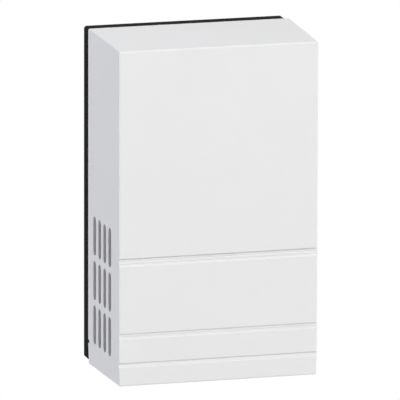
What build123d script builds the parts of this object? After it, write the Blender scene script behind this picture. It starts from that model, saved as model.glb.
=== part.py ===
"""A wired two-note door chime: a white vented cover over a black base that carries the striking mechanism."""
from build123d import *
import math
import os

# Sizes are in millimetres. X runs to the right and Z up. The wall is at y = 0, and each depth below is
# a distance out from the wall towards the room, so a point at a depth lies at y = -depth.

# The box
case_width = 116.0
case_height = 190.5
base_depth = 12.6
base_inset = 0.9
cover_depth = 61.7
side_draft = 1.2
end_draft = 1.0
edge_radius = 0.9
base_corner_radius = 1.6
cover_wall = 2.0
base_plate = 2.5
core_wall = 1.5
cut_overrun = 6.0

# How the cover sits on the base
seat_gap = 0.1
lip_clearance = 0.3
lip_wall = 1.6
lip_height = 4.0
catch_width = 14.0
catch_height = 9.0
catch_bead = 1.0
catch_bite = 0.35
catch_spread = 124.0
pocket_depth = 0.7
pocket_clearance = 0.4
notch_height = 2.0
notch_depth = 2.0
notch_rise = 12.0

# Grooves across the front: ceilings are heights above the cover's lower end
upper_groove_ceiling = 73.2
upper_groove_opening = 4.8
upper_groove_depth = 1.2
middle_groove_ceiling = 30.8
middle_groove_opening = 3.4
lower_groove_ceiling = 14.2
lower_groove_opening = 2.7
small_groove_depth = 0.9
groove_lip_share = 0.6
bead_drop = 1.35
bead_pitch = 1.5
bead_radius = 0.35
skirt_lean = 0.4

# Vent slots in both sides, set out from the cover's back rim and its lower end
vent_columns = 4
vent_rows = 3
vent_width = 5.4
vent_length = 22.3
vent_pitch = 10.0
vent_row_pitch = 25.3
vent_setback = 12.9
vent_rise = 25.1

# Wall fixing and wire opening
wall_slot_width = 4.5
wall_slot_length = 10.0
wall_slot_spacing = 160.0
wire_opening_width = 22.0
wire_opening_height = 14.0
wire_opening_z = -47.0

# Tone bars, a major third apart, and the room between each and the outside of the case
bar_side_room = 15.5
bar_thickness = 3.0
bar_width = 38.0
bar_corner_radius = 3.0
bar_edge_round = 0.4
high_bar_length = 125.0
low_bar_length = 140.0
bar_still_share = 0.224

# Posts, pegs, rubber grommets and push-on clips that carry the bars
post_thickness = 5.0
post_height = 10.0
post_core = 24.0
post_rise = 6.0
post_gap = 0.1
peg_radius = 2.0
peg_end = 1.5
grommet_clearance = 0.05
grommet_neck_radius = 4.0
grommet_flange_radius = 6.0
grommet_flange = 1.6
grommet_round = 0.5
clip_thickness = 0.6
clip_radius = 5.0
clip_tooth_width = 1.0
clip_tooth_count = 6

# Solenoids, and the room between each spool and a bar
plunger_depth = 31.0
front_solenoid_z = -14.0
rear_solenoid_z = 30.0
solenoid_side_room = 28.5
yoke_thickness = 1.6
yoke_height = 26.0
yoke_bend_radius = 2.0
yoke_ear_width = 12.0
yoke_ear_length = 8.0
yoke_front = 12.0
bobbin_flange = 1.5
bobbin_flange_radius = 12.3
bobbin_wall = 1.1
coil_clearance = 0.1
winding_radius = 11.0
winding_round = 0.5
winding_fit = 0.05
pillar_radius = 4.0

# Plungers, and how much longer they are than the spools
plunger_radius = 4.0
plunger_fit = 0.1
plunger_overhang = 17.0
plunger_chamfer = 0.6
yoke_hole_clearance = 0.4
strike_travel = 8.0
rebound_travel = 2.0
stroke_clearance = 0.3
striker_shank_radius = 2.0
striker_shank_fit = 0.02
striker_socket = 6.0
striker_head_radius = 3.2
striker_head_length = 4.0
striker_crown = 1.6

# Return springs and the open rings that hold them on the plungers
spring_length = 17.7
spring_end_gap = 0.3
spring_turns = 7
spring_wire_radius = 0.3
spring_clearance = 0.7
ring_thickness = 0.8
ring_radius = 6.4
ring_mouth = 4.6
ring_clearance = 0.05
ring_groove_depth = 0.7
ring_from_end = 1.3

# Felt pad and its post
pad_thickness = 2.0
pad_size = 9.0
pad_round = 1.0
pad_post_thickness = 3.5

# Screws
yoke_screw_radius = 1.4
yoke_screw_length = 9.0
yoke_screw_head_radius = 2.8
yoke_screw_head_height = 1.9
screw_fit = 0.05
screw_hole_clearance = 0.3
recess_width = 0.8
recess_share = 0.62
recess_depth_share = 0.55
head_round_share = 0.45
screw_point_share = 0.5

# Terminals
terminal_pitch = 22.0
terminal_z = -66.0
terminal_block = 13.0
terminal_depth = 13.0
terminal_core = 4.5
terminal_plate_width = 9.0
terminal_plate_length = 11.0
terminal_plate_thickness = 0.8
tag_width = 7.0
tag_rise = 4.2
washer_size = 7.6
washer_thickness = 0.9
terminal_screw_radius = 1.6
terminal_screw_length = 8.0
terminal_screw_head_radius = 3.3
terminal_screw_head_height = 2.3
barrier_thickness = 1.5
barrier_rise = 3.5

# Leads from the windings to the terminals
lead_radius = 0.65
lead_gap = 0.25
lead_exit_share = 0.28
lead_drop = 10.5
lead_short_drop = 6.5
lead_lane_room = 6.8
lead_lane_depth = 9.0
lead_pair = 2.0
lead_peg_radius = 1.2
lead_peg_depth = 13.0
lead_peg_rise = 4.0
bend_share = 0.45

# Places worked out from the sizes above
front_depth = base_depth + cover_depth
cover_back = base_depth + seat_gap
cover_bottom = -case_height / 2
bar_inner = case_width / 2 - bar_side_room
bar_centre_z = (front_solenoid_z + rear_solenoid_z) / 2
bobbin_length = 2 * (bar_inner - solenoid_side_room)
yoke_back = plunger_depth - bobbin_flange_radius - coil_clearance - yoke_thickness
cheek_inner = bobbin_length / 2 + coil_clearance
cheek_outer = cheek_inner + yoke_thickness
ring_left = cheek_outer + spring_length
plunger_right = ring_left + ring_thickness + ring_from_end
plunger_left = plunger_right - bobbin_length - plunger_overhang
left_tip = -bar_inner + strike_travel + stroke_clearance
right_tip = bar_inner - rebound_travel - stroke_clearance
ear_z = yoke_height / 2 + yoke_ear_length / 2
lead_lane = cheek_outer + lead_lane_room
lead_exit = lead_exit_share * bobbin_length
tag_z = terminal_z + terminal_plate_length / 2
tag_depth = terminal_depth + (terminal_plate_thickness + tag_rise) / 2
lip_half_width = case_width / 2 - cover_wall - lip_clearance
lip_half_height = case_height / 2 - cover_wall - lip_clearance


def middle(ends):
    """The middle of a pair of values."""
    return (ends[0] + ends[1]) / 2


def block(x, depth, z):
    """A box between pairs of values across, out from the wall and upwards."""
    size = (x[1] - x[0], depth[1] - depth[0], z[1] - z[0])
    return Pos(middle(x), -middle(depth), middle(z)) * Box(*size)


def across(centre, size):
    """The pair of values that a size takes about a centre."""
    return (centre - size / 2, centre + size / 2)


def rod_along_x(x, depth, z, radius):
    """A round rod that runs across, between a pair of values."""
    return Pos(middle(x), -depth, z) * Rot(0, 90, 0) * Cylinder(radius, x[1] - x[0])


def rod_from_wall(x, depth, z, radius):
    """A round rod that runs out from the wall, between a pair of depths."""
    return Pos(x, -middle(depth), z) * Rot(90, 0, 0) * Cylinder(radius, depth[1] - depth[0])


def room_plane(depth):
    """A plane at a depth that faces the room, with its own y upwards."""
    return Plane(origin=(0, -depth, 0), x_dir=(1, 0, 0), z_dir=(0, -1, 0))


def half_outline(depth, inset):
    """Half the cover's width and height at a depth, less an inset."""
    lean = (depth - base_depth) / cover_depth
    return case_width / 2 - side_draft * lean - inset, case_height / 2 - end_draft * lean - inset


def drafted_box(near, far, inset):
    """The cover's leaning box between two depths, drawn in by an inset."""
    near_width, near_height = half_outline(near, inset)
    far_width, far_height = half_outline(far, inset)
    wedge = Wedge(
        2 * near_width,
        far - near,
        2 * near_height,
        near_width - far_width,
        near_height - far_height,
        near_width + far_width,
        near_height + far_height,
        align=(Align.CENTER, Align.MIN, Align.CENTER),
    )
    return Pos(0, -near, 0) * Rot(0, 0, 180) * wedge


def grooves():
    """Each front groove's ceiling height, opening, depth and number of beads."""
    return (
        (upper_groove_ceiling, upper_groove_opening, upper_groove_depth, 2),
        (middle_groove_ceiling, middle_groove_opening, small_groove_depth, 1),
        (lower_groove_ceiling, lower_groove_opening, small_groove_depth, 0),
    )


def groove_cutter(ceiling, opening, depth, beads):
    """What a groove takes out of the front: deep under its ceiling, with a floor sloping out to its lip."""
    reach = case_width / 2 + cut_overrun
    top = cover_bottom + ceiling
    inner = front_depth - depth
    lip = groove_lip_share * depth
    slope = (depth - lip) / (opening - lip)
    outer = front_depth + cut_overrun
    corners = [
        (outer, top),
        (inner, top),
        (front_depth - lip, top - opening + lip),
        (front_depth, top - opening),
        (outer, top - opening),
    ]
    end = Plane(origin=(reach, 0, 0), x_dir=(0, -1, 0), z_dir=(-1, 0, 0))
    cutter = extrude(end * make_face(Polyline(*corners, close=True)), 2 * reach)
    for bead in range(beads):
        drop = bead_drop + bead * bead_pitch
        cutter -= rod_along_x((-reach, reach), inner + slope * drop, top - drop, bead_radius)
    return cutter


def groove_backing(ceiling, opening, depth):
    """The thickening inside the front wall that keeps the wall whole behind a groove."""
    inner_front = front_depth - cover_wall
    half_width = half_outline(front_depth, cover_wall / 2)[0]
    top = cover_bottom + ceiling
    return block(
        (-half_width, half_width),
        (inner_front - depth, inner_front + cover_wall / 2),
        (top - opening - cover_wall, top + cover_wall),
    )


def vent_cutters():
    """The upright slots that let the sound out through both sides."""
    cutters = []
    for side in (-1, 1):
        for column in range(vent_columns):
            for row in range(vent_rows):
                depth = base_depth + vent_setback + column * vent_pitch
                height = cover_bottom + vent_rise + row * vent_row_pitch
                wall = side * half_outline(depth, cover_wall / 2)[0]
                plane = Plane(origin=(wall, -depth, height), x_dir=(0, 0, 1), z_dir=(side, 0, 0))
                slot = plane * SlotOverall(vent_length, vent_width)
                cutters.append(extrude(slot, cover_wall, both=True))
    return cutters


def skirt_cutter(side):
    """The sliver outside a side wall below the lowest groove, where the side leans inwards."""
    crease_z = cover_bottom + lower_groove_ceiling - lower_groove_opening
    back = Vector(side * case_width / 2, -base_depth, crease_z)
    front = Vector(side * (case_width / 2 - side_draft), -front_depth, crease_z)
    along = (front - back).normalized()
    outward = along.cross(Vector(0, 0, 1)) * -side
    lean = math.atan(skirt_lean / (crease_z - cover_bottom))
    normal = outward * math.cos(lean) - Vector(0, 0, 1) * math.sin(lean)
    plane = Plane(origin=back + along * (cover_depth / 2), x_dir=along, z_dir=normal)
    sliver = Box(cover_depth + 2 * cut_overrun, case_height, cut_overrun)
    return plane * Pos(0, 0, cut_overrun / 2) * sliver


def catch_places():
    """Side and height of each catch between the base and the cover."""
    return [(side, end * catch_spread / 2) for side in (-1, 1) for end in (-1, 1)]


def catch_depth():
    """How far out from the wall the catches' beads lie."""
    return base_depth + lip_height + catch_height / 2


def make_cover():
    """The white shell, open towards the wall."""
    shell = drafted_box(cover_back, front_depth, 0)
    back_edges = shell.faces().sort_by(Axis.Y)[-1].edges()
    rounded = [edge for edge in shell.edges() if edge not in back_edges]
    shell = fillet(rounded, edge_radius)
    shell -= drafted_box(cover_back - cut_overrun, front_depth - cover_wall, cover_wall)
    for ceiling, opening, depth, _ in grooves():
        shell += groove_backing(ceiling, opening, depth)
    for groove in grooves():
        shell -= groove_cutter(*groove)
    shell -= vent_cutters()
    for side in (-1, 1):
        shell -= skirt_cutter(side)
        shell -= block(
            across(side * case_width / 2, 2 * cut_overrun),
            (cover_back - cut_overrun, cover_back + notch_depth),
            (cover_bottom + notch_rise, cover_bottom + notch_rise + notch_height),
        )
    for side, height in catch_places():
        depth = catch_depth()
        inner = half_outline(depth, cover_wall)[0]
        pocket = sorted((side * (inner - cut_overrun), side * (inner + pocket_depth)))
        bead = 2 * (catch_bead + pocket_clearance)
        shell -= block(pocket, across(depth, bead), across(height, catch_width + 2 * pocket_clearance))
    return shell


def make_catch(side, height):
    """A springy tongue on the base's lip, with a bead that the cover's pocket takes."""
    depth = catch_depth()
    tongue = sorted((side * (lip_half_width - lip_wall), side * lip_half_width))
    top = base_depth + lip_height + catch_height
    catch = block(tongue, (base_depth, top), across(height, catch_width))
    inner_wall = half_outline(depth, cover_wall)[0]
    reach = inner_wall + catch_bite - lip_half_width
    profile = Plane(origin=(side * lip_half_width, -depth, height), x_dir=(side, 0, 0), z_dir=(0, 0, side))
    triangle = Polyline((0, catch_bead), (reach, 0), (0, -catch_bead), close=True)
    bead = extrude(profile * make_face(triangle), catch_width / 2, both=True)
    return catch + bead


def make_bar_post(side, height):
    """A post with its peg, on which one end of a tone bar hangs."""
    outer = bar_inner - grommet_flange - post_gap
    post = block(
        sorted((side * (outer - post_thickness), side * outer)),
        (0, plunger_depth + post_rise),
        across(height, post_height),
    )
    peg_tip = bar_inner + bar_thickness + grommet_flange + clip_thickness + 2 * post_gap + peg_end
    peg_ends = sorted((side * (outer - post_thickness / 2), side * peg_tip))
    peg = rod_along_x(peg_ends, plunger_depth, height, peg_radius)
    return post + peg


def bar_hang_heights(length):
    """The heights of a bar's two still points."""
    reach = length * (1 / 2 - bar_still_share)
    return (bar_centre_z - reach, bar_centre_z + reach)


def make_pad_post():
    """The post behind the felt pad, in line with the rear plunger."""
    left = plunger_right + stroke_clearance + pad_thickness
    return block(
        (left, left + pad_post_thickness),
        (0, plunger_depth + pad_size / 2),
        across(rear_solenoid_z, pad_size),
    )


def terminal_places():
    """Where the three terminals lie across the base."""
    return (-terminal_pitch, 0, terminal_pitch)


def make_back_base():
    """The black tray on the wall, with everything moulded on it."""
    width, height = case_width - 2 * base_inset, case_height - 2 * base_inset
    outline = room_plane(0) * RectangleRounded(width, height, base_corner_radius)
    lip = block(
        (-lip_half_width, lip_half_width),
        (0, base_depth + lip_height),
        (-lip_half_height, lip_half_height),
    )
    hollow = block(
        (lip_wall - lip_half_width, lip_half_width - lip_wall),
        (base_plate, base_depth + lip_height + cut_overrun),
        (lip_wall - lip_half_height, lip_half_height - lip_wall),
    )
    base = extrude(outline, base_depth) + lip - hollow
    for side, height in catch_places():
        base += make_catch(side, height)
    for side, length in ((-1, high_bar_length), (1, low_bar_length)):
        for height in bar_hang_heights(length):
            base += make_bar_post(side, height)
    base += make_pad_post()
    for solenoid_z in (front_solenoid_z, rear_solenoid_z):
        for end in (-1, 1):
            base += rod_from_wall(0, (0, yoke_back), solenoid_z + end * ear_z, pillar_radius)
    for x in terminal_places():
        base += block(across(x, terminal_block), (0, terminal_depth), across(terminal_z, terminal_block))
    for side in (-1, 1):
        wall = across(side * terminal_pitch / 2, barrier_thickness)
        base += block(wall, (0, terminal_depth + barrier_rise), across(terminal_z, terminal_block))
        for offset in (-1, 1):
            x = side * lead_lane + offset * (lead_radius + lead_gap + lead_peg_radius)
            base += rod_from_wall(x, (0, lead_peg_depth), front_solenoid_z + lead_peg_rise, lead_peg_radius)
    base -= base_holes()
    base -= core_pockets()
    return base


def base_holes():
    """The wall slots, the wire opening and the screws' pilot holes."""
    holes = []
    for end in (-1, 1):
        plane = Plane(
            origin=(0, -base_plate / 2, end * wall_slot_spacing / 2), x_dir=(0, 0, 1), z_dir=(0, 1, 0)
        )
        holes.append(extrude(plane * SlotOverall(wall_slot_length, wall_slot_width), base_plate, both=True))
    holes.append(
        block(
            across(0, wire_opening_width),
            (-cut_overrun, base_plate + cut_overrun),
            across(wire_opening_z, wire_opening_height),
        )
    )
    bottom = yoke_back + yoke_thickness - yoke_screw_length - screw_hole_clearance
    radius = yoke_screw_radius + screw_fit
    for solenoid_z in (front_solenoid_z, rear_solenoid_z):
        for end in (-1, 1):
            hole = (bottom, yoke_back + cut_overrun)
            holes.append(rod_from_wall(0, hole, solenoid_z + end * ear_z, radius))
    bottom = terminal_seat() - terminal_screw_length - screw_hole_clearance
    radius = terminal_screw_radius + screw_fit
    for x in terminal_places():
        holes.append(rod_from_wall(x, (bottom, terminal_depth + cut_overrun), terminal_z, radius))
    return holes


def core_pockets():
    """The pockets behind the terminal blocks and the bars' posts, which keep their walls thin."""
    size = terminal_block - 2 * core_wall
    behind = (-cut_overrun, terminal_core)
    pockets = [block(across(x, size), behind, across(terminal_z, size)) for x in terminal_places()]
    outer = bar_inner - grommet_flange - post_gap
    for side, length in ((-1, high_bar_length), (1, low_bar_length)):
        x = sorted((side * (outer - post_thickness + core_wall), side * (outer - core_wall)))
        for height in bar_hang_heights(length):
            pockets.append(block(x, (-cut_overrun, post_core), across(height, post_height - 2 * core_wall)))
    return pockets


def terminal_seat():
    """The depth of the face under a terminal screw's head."""
    return terminal_depth + terminal_plate_thickness + washer_thickness


def make_tone_bar(side, length):
    """A flat steel bar on edge, with a hole at each still point."""
    left, right = sorted((side * bar_inner, side * (bar_inner + bar_thickness)))
    plane = Plane(origin=(left, -plunger_depth, bar_centre_z), x_dir=(0, 1, 0), z_dir=(1, 0, 0))
    bar = extrude(plane * RectangleRounded(bar_width, length, bar_corner_radius), bar_thickness)
    bar = fillet(bar.faces().filter_by(Axis.X).edges(), bar_edge_round)
    ends = (left - cut_overrun, right + cut_overrun)
    for height in bar_hang_heights(length):
        bar -= rod_along_x(ends, plunger_depth, height, grommet_neck_radius + grommet_clearance)
    return bar


def make_grommet(side, height):
    """A rubber ring with a groove that the bar sits in and a bore for the peg."""
    outer = bar_inner + bar_thickness + grommet_flange
    inner = bar_inner - grommet_flange
    whole = sorted((side * inner, side * outer))
    waist = sorted((side * bar_inner, side * (bar_inner + bar_thickness)))
    beyond = (whole[0] - cut_overrun, whole[1] + cut_overrun)
    flanges = rod_along_x(whole, plunger_depth, height, grommet_flange_radius)
    flanges = fillet(flanges.edges().filter_by(GeomType.CIRCLE), grommet_round)
    groove = rod_along_x(waist, plunger_depth, height, grommet_flange_radius + cut_overrun)
    neck = rod_along_x(waist, plunger_depth, height, grommet_neck_radius)
    bore = rod_along_x(beyond, plunger_depth, height, peg_radius + grommet_clearance)
    return flanges - groove + neck - bore


def make_bar_clip(side, height):
    """A push-on steel washer with slots between its teeth."""
    inner = bar_inner + bar_thickness + grommet_flange + post_gap
    ends = sorted((side * inner, side * (inner + clip_thickness)))
    clip = rod_along_x(ends, plunger_depth, height, clip_radius)
    bite = peg_radius + grommet_clearance
    far = (ends[0] - cut_overrun, ends[1] + cut_overrun)
    clip -= rod_along_x(far, plunger_depth, height, bite)
    slot = Box(far[1] - far[0], clip_tooth_width, clip_radius - bite)
    for tooth in range(clip_tooth_count):
        turn = Rot(360 / clip_tooth_count * tooth, 0, 0)
        clip -= Pos(middle(ends), -plunger_depth, height) * turn * Pos(0, 0, clip_radius / 2) * slot
    return clip


def make_yoke(height):
    """A bent steel frame round three sides of a solenoid, with an ear at each end of its back."""
    half = yoke_height / 2
    front = plunger_depth + yoke_front
    yoke = block((-cheek_outer, cheek_outer), (yoke_back, front), (height - half, height + half))
    bends = yoke.edges().filter_by(Axis.Z).sort_by(Axis.Y)[-2:]
    yoke = fillet(bends, yoke_bend_radius)
    yoke -= block(
        (-cheek_inner, cheek_inner),
        (yoke_back + yoke_thickness, front + cut_overrun),
        (height - half - cut_overrun, height + half + cut_overrun),
    )
    yoke += block(
        across(0, yoke_ear_width),
        (yoke_back, yoke_back + yoke_thickness),
        across(height, yoke_height + 2 * yoke_ear_length),
    )
    reach = cheek_outer + cut_overrun
    yoke -= rod_along_x((-reach, reach), plunger_depth, height, plunger_radius + yoke_hole_clearance)
    for end in (-1, 1):
        yoke -= rod_from_wall(
            0,
            (yoke_back - cut_overrun, yoke_back + yoke_thickness + cut_overrun),
            height + end * ear_z,
            yoke_screw_radius + screw_hole_clearance,
        )
    return yoke


def make_bobbin(height):
    """The moulded spool that the winding lies on and the plunger slides in."""
    half = bobbin_length / 2
    barrel_radius = plunger_radius + plunger_fit + bobbin_wall
    bobbin = rod_along_x((-half, half), plunger_depth, height, barrel_radius)
    for ends in ((-half, bobbin_flange - half), (half - bobbin_flange, half)):
        bobbin += rod_along_x(ends, plunger_depth, height, bobbin_flange_radius)
    reach = half + cut_overrun
    return bobbin - rod_along_x((-reach, reach), plunger_depth, height, plunger_radius + plunger_fit)


def make_winding(height):
    """The winding's outer tape, a plain ring between the spool's flanges."""
    half = bobbin_length / 2 - bobbin_flange - coil_clearance
    inner = plunger_radius + plunger_fit + bobbin_wall + winding_fit
    winding = rod_along_x((-half, half), plunger_depth, height, winding_radius)
    winding = fillet(winding.edges().filter_by(GeomType.CIRCLE), winding_round)
    reach = half + cut_overrun
    return winding - rod_along_x((-reach, reach), plunger_depth, height, inner)


def make_plunger(height, right_socket):
    """A steel core with sockets for its strikers and a groove for its ring."""
    core = rod_along_x((plunger_left, plunger_right), plunger_depth, height, plunger_radius)
    core = chamfer(core.edges().filter_by(GeomType.CIRCLE), plunger_chamfer)
    groove_ends = (ring_left - ring_clearance, ring_left + ring_thickness + ring_clearance)
    groove = rod_along_x(groove_ends, plunger_depth, height, plunger_radius + cut_overrun)
    groove -= rod_along_x(groove_ends, plunger_depth, height, plunger_radius - ring_groove_depth)
    core -= groove
    socket = striker_shank_radius + striker_shank_fit
    shallow = plunger_left + striker_socket
    core -= rod_along_x((plunger_left - cut_overrun, shallow), plunger_depth, height, socket)
    if right_socket:
        deep = plunger_right - striker_socket
        core -= rod_along_x((deep, plunger_right + cut_overrun), plunger_depth, height, socket)
    return core


def make_striker(side, height):
    """A nylon tip whose crowned head hits a bar."""
    end = plunger_left if side < 0 else -plunger_right
    tip = left_tip if side < 0 else -right_tip
    shank_ends = (tip + striker_head_length - striker_crown, end + striker_socket - striker_shank_fit)
    shank = rod_along_x(shank_ends, 0, 0, striker_shank_radius)
    head = rod_along_x((tip, tip + striker_head_length), 0, 0, striker_head_radius)
    crown = head.faces().sort_by(Axis.X)[0].edges()
    head = fillet(crown, striker_crown)
    turn = Rot(0, 0, 0 if side < 0 else 180)
    return Pos(0, -plunger_depth, height) * turn * (shank + head)


def make_ring(height):
    """An open retaining ring in the plunger's groove."""
    ends = (ring_left, ring_left + ring_thickness)
    bore = plunger_radius - ring_groove_depth + ring_clearance
    ring = rod_along_x(ends, plunger_depth, height, ring_radius)
    far = (ends[0] - cut_overrun, ends[1] + cut_overrun)
    ring -= rod_along_x(far, plunger_depth, height, bore)
    mouth = (plunger_depth, plunger_depth + ring_radius + cut_overrun)
    ring -= block(far, mouth, across(height, ring_mouth))
    return ring


def helix_point(angle, start, pitch, radius, height):
    """A point on a spring's line, and the line's direction there."""
    along = start + pitch * angle / (2 * math.pi)
    point = Vector(along, -plunger_depth + radius * math.cos(angle), height + radius * math.sin(angle))
    rise = pitch / (2 * math.pi)
    return point, Vector(rise, -radius * math.sin(angle), radius * math.cos(angle)).normalized()


def biarc(start, start_way, end, end_way):
    """Two arcs that leave one point in its direction and reach the next in its direction."""
    gap = end - start
    ways = start_way + end_way
    a = ways.dot(ways) - 4
    b = gap.dot(ways)
    reach = (b - math.sqrt(b * b - a * gap.dot(gap))) / a
    if reach < 0:
        reach = (b + math.sqrt(b * b - a * gap.dot(gap))) / a
    joint = (start + start_way * reach + end - end_way * reach) / 2
    first = TangentArc(start, joint, tangent=start_way)
    second = TangentArc(joint, end, tangent=first % 1)
    return [first, second]


def make_spring(height):
    """A return spring: one unbroken wire round the plunger, between the yoke and the ring."""
    radius = plunger_radius + spring_clearance + spring_wire_radius
    start = cheek_outer + spring_end_gap + spring_wire_radius
    end = ring_left - spring_end_gap - spring_wire_radius
    pitch = (end - start) / spring_turns
    arcs = []
    for half_turn in range(2 * spring_turns):
        near = helix_point(half_turn * math.pi, start, pitch, radius, height)
        far = helix_point((half_turn + 1) * math.pi, start, pitch, radius, height)
        arcs += biarc(*near, *far)
    path = Wire([edge for arc in arcs for edge in arc.edges()])
    point, way = helix_point(0, start, pitch, radius, height)
    print("spring gap to itself", round(least_gap(start, pitch, radius, height), 3))
    return sweep(Plane(origin=point, z_dir=way) * Circle(spring_wire_radius), path=path)


def least_gap(start, pitch, radius, height, steps=72):
    """The least clear distance between a spring's turns, measured on points along it."""
    count = spring_turns * steps
    points = [helix_point(2 * math.pi * i / steps, start, pitch, radius, height)[0] for i in range(count + 1)]
    apart = [
        (points[i] - points[j]).length
        for i in range(len(points))
        for j in range(i + steps // 2, min(len(points), i + 2 * steps))
    ]
    return min(apart) - 2 * spring_wire_radius


def make_stop_pad():
    """The felt that the rear plunger comes back onto."""
    left = plunger_right + stroke_clearance
    square = (across(plunger_depth, pad_size), across(rear_solenoid_z, pad_size))
    pad = block((left, left + pad_thickness), *square)
    return fillet(pad.edges().filter_by(Axis.X), pad_round)


def make_screw(x, z, seat, radius, length, head_radius, head_height):
    """A round-headed screw with a cross recess, driven towards the wall."""
    shank = rod_from_wall(x, (seat - length, seat + head_height / 2), z, radius)
    point = shank.edges().filter_by(GeomType.CIRCLE).sort_by(Axis.Y)[-1:]
    shank = chamfer(point, radius * screw_point_share)
    head = rod_from_wall(x, (seat, seat + head_height), z, head_radius)
    rim = head.edges().filter_by(GeomType.CIRCLE).sort_by(Axis.Y)[:1]
    head = fillet(rim, head_height * head_round_share)
    recess = (seat + head_height * (1 - recess_depth_share), seat + head_height + cut_overrun)
    arm = 2 * head_radius * recess_share
    screw = shank + head
    screw -= block(across(x, arm), recess, across(z, recess_width))
    screw -= block(across(x, recess_width), recess, across(z, arm))
    return screw


def make_yoke_screws():
    """The four screws through the yokes' ears."""
    seat = yoke_back + yoke_thickness
    sizes = (yoke_screw_radius, yoke_screw_length, yoke_screw_head_radius, yoke_screw_head_height)
    solenoids = (front_solenoid_z, rear_solenoid_z)
    return [make_screw(0, height + end * ear_z, seat, *sizes) for height in solenoids for end in (-1, 1)]


def make_terminal(x):
    """A brass plate with a hole for its screw and an upturned tag for the lead."""
    seat = terminal_depth + terminal_plate_thickness
    plate = block(
        across(x, terminal_plate_width), (terminal_depth, seat), across(terminal_z, terminal_plate_length)
    )
    plate += block(
        across(x, tag_width), (terminal_depth, seat + tag_rise), (tag_z - terminal_plate_thickness, tag_z)
    )
    hole = (terminal_depth - cut_overrun, seat + cut_overrun)
    return plate - rod_from_wall(x, hole, terminal_z, terminal_screw_radius + screw_hole_clearance)


def make_terminal_washers():
    """The square clamp washers under the terminal screws' heads."""
    washers = []
    for x in terminal_places():
        seat = terminal_seat()
        washer = block(
            across(x, washer_size), (seat - washer_thickness, seat), across(terminal_z, washer_size)
        )
        hole = (terminal_depth - cut_overrun, seat + cut_overrun)
        bore = terminal_screw_radius + screw_hole_clearance
        washers.append(washer - rod_from_wall(x, hole, terminal_z, bore))
    return washers


def make_terminal_screws():
    """The three screws that clamp the bell wires."""
    sizes = (
        terminal_screw_radius,
        terminal_screw_length,
        terminal_screw_head_radius,
        terminal_screw_head_height,
    )
    return [make_screw(x, terminal_z, terminal_seat(), *sizes) for x in terminal_places()]


def bend_radii(points):
    """The radius of each bend of a lead: as large as the two runs beside it allow."""
    radii = []
    for before, here, after in zip(points, points[1:], points[2:]):
        turn = math.radians((here - before).get_angle(after - here))
        shorter = min((here - before).length, (after - here).length)
        radii.append(bend_share * shorter / math.tan(turn / 2))
    return radii


def make_lead(name, route):
    """An insulated lead along its route, given as places across, out from the wall and upwards."""
    points = [Vector(x, -depth, z) for x, depth, z in route]
    radii = bend_radii(points)
    path = FilletPolyline(*points, radius=radii)
    print(name, "bends", [round(radius, 1) for radius in radii])
    return sweep(Plane(origin=path @ 0, z_dir=path % 0) * Circle(lead_radius), path=path.wire())


def lead_end(x):
    """The last two places of a lead, straight down onto a terminal's tag."""
    end = tag_z + lead_gap
    return [(x, tag_depth, end + lead_short_drop), (x, tag_depth, end)]


def lead_start(side, solenoid_z, drop):
    """The first two places of a lead, straight down from under a winding."""
    top = solenoid_z - winding_radius - lead_gap
    return [(side * lead_exit, plunger_depth, top), (side * lead_exit, plunger_depth, top - drop)]


def lane_places(side):
    """The stretch of a rear coil's lead that runs down the base beside the front solenoid."""
    half = yoke_height / 2
    return [
        (side * lead_lane, lead_lane_depth, front_solenoid_z + half),
        (side * lead_lane, lead_lane_depth, front_solenoid_z - half + lead_radius),
    ]


def front_coil_route():
    """From the front winding's left end to the left terminal."""
    return lead_start(-1, front_solenoid_z, lead_drop) + lead_end(-terminal_pitch)


def front_common_route():
    """From the front winding's right end to the middle terminal."""
    return lead_start(1, front_solenoid_z, lead_drop) + lead_end(lead_pair)


def rear_coil_route():
    """From the rear winding's right end to the right terminal."""
    return lead_start(1, rear_solenoid_z, lead_short_drop) + lane_places(1) + lead_end(terminal_pitch)


def rear_common_route():
    """From the rear winding's left end to the middle terminal, round the wire opening."""
    turn = (-wire_opening_width / 2 - lead_pair, terminal_depth, wire_opening_z + lead_short_drop)
    return lead_start(-1, rear_solenoid_z, lead_short_drop) + lane_places(-1) + [turn] + lead_end(-lead_pair)


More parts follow.
